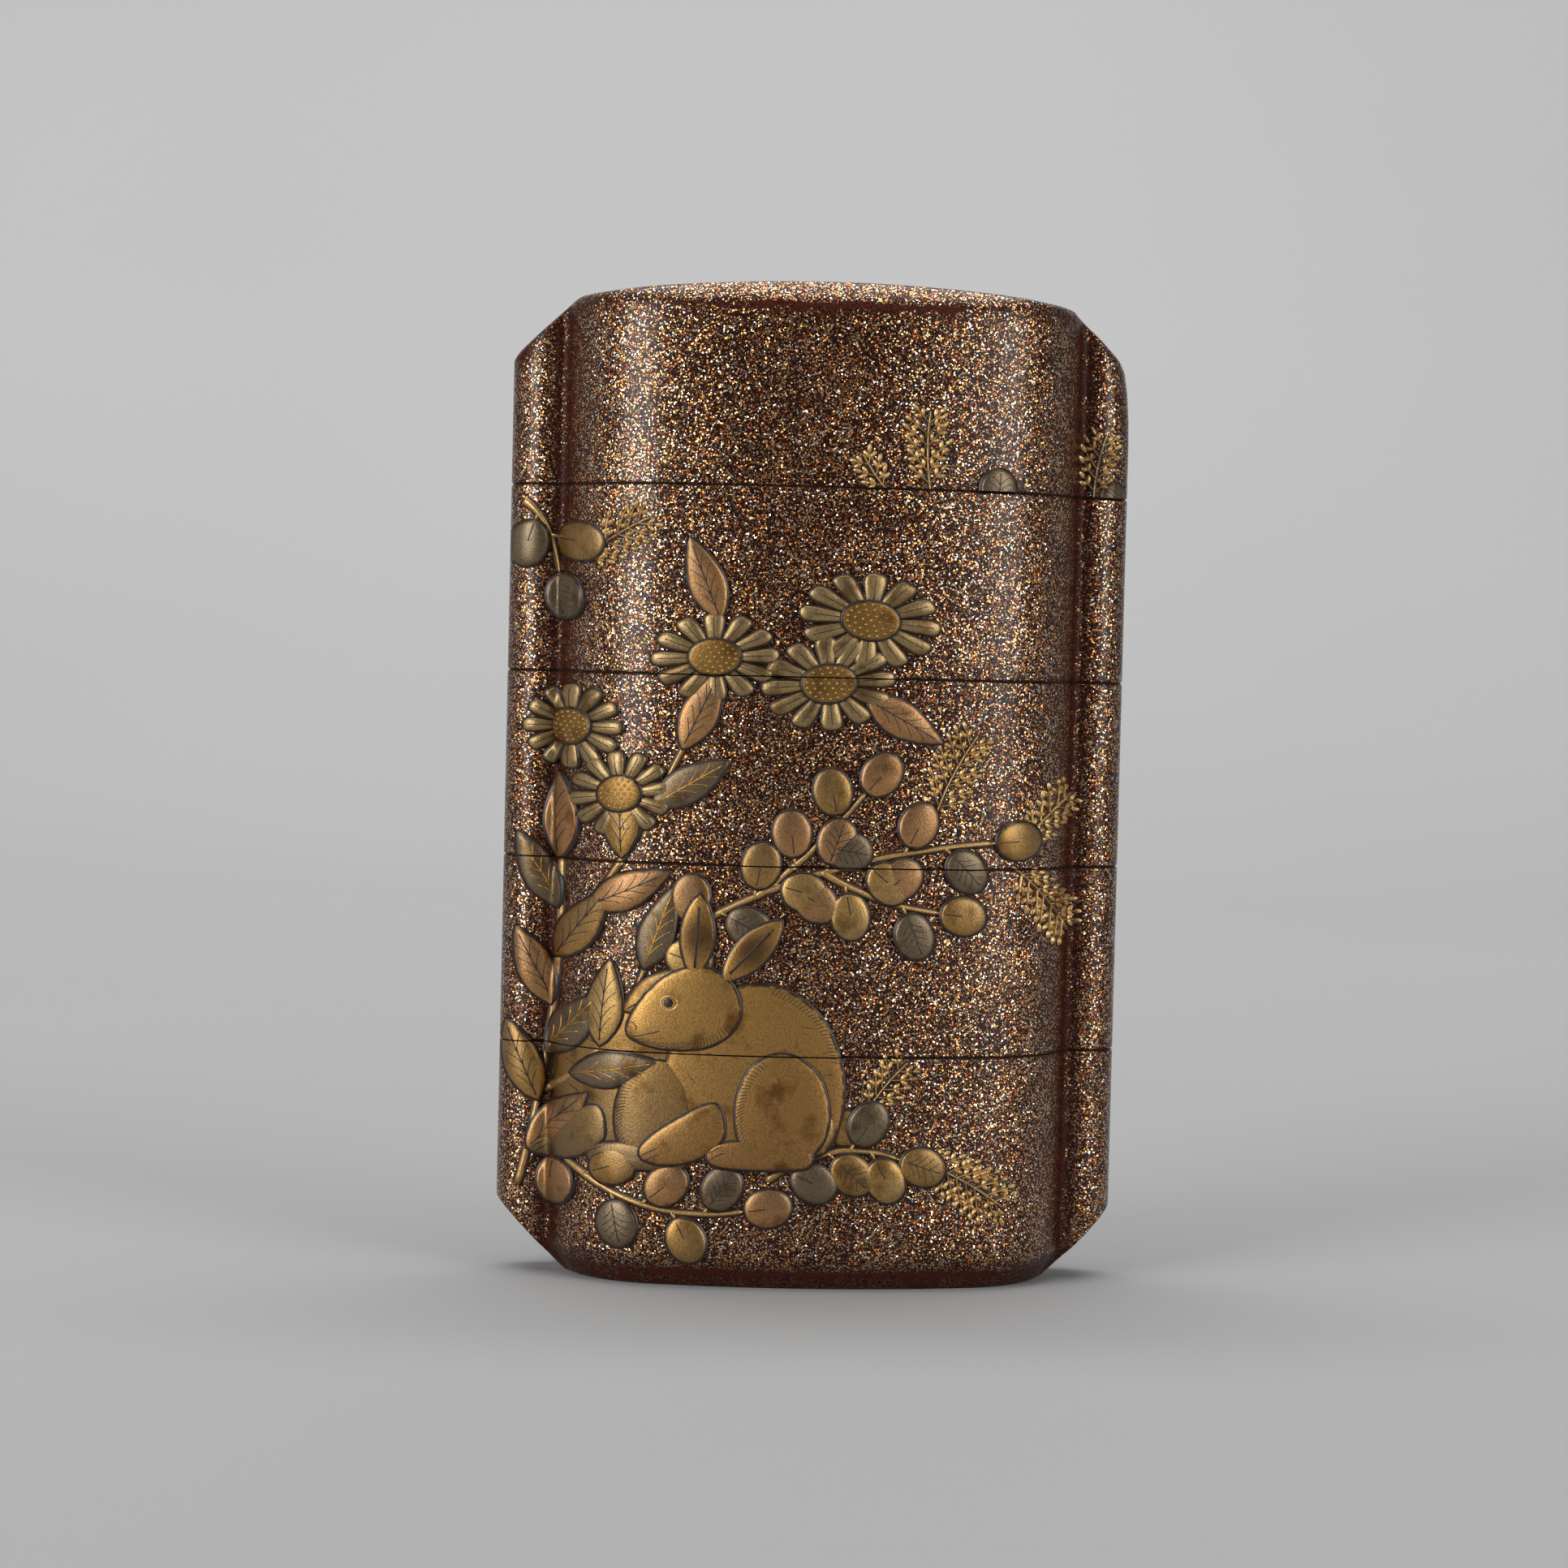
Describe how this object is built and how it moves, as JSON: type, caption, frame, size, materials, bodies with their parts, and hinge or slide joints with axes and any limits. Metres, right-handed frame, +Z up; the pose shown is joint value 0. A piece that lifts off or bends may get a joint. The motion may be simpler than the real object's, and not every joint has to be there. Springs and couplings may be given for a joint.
{
  "type": "inro case",
  "caption": "Flat stacking carrying case of lacquered wood: a lid, trays and a bottom case that nest on inner risers, with cord ribs at the narrow sides and raised gold plants and rabbits.",
  "frame": {"origin": "centre of the flat underside of the bottom case", "axes": "+Z up through the stack to the lid, +X along the broad side to the right of the picture, -Y out of the picture's face"},
  "size_m": [0.054, 0.0263, 0.0858],
  "materials": {
    "lid_lacquer": "lacquered wood, red-brown with dense gold and silver flakes and raised gold figures under a clear gloss coat",
    "case_1_lacquer": "lacquered wood, red-brown with dense gold and silver flakes and raised gold figures under a clear gloss coat",
    "case_2_lacquer": "lacquered wood, red-brown with dense gold and silver flakes and raised gold figures under a clear gloss coat",
    "case_3_lacquer": "lacquered wood, red-brown with dense gold and silver flakes and raised gold figures under a clear gloss coat",
    "case_4_lacquer": "lacquered wood, red-brown with dense gold and silver flakes and raised gold figures under a clear gloss coat"
  },
  "bodies": {
    "root": {"lid": "lid_lacquer", "case_1": "case_1_lacquer", "case_2": "case_2_lacquer", "case_3": "case_3_lacquer", "case_4": "case_4_lacquer"}
  },
  "joints": []
}
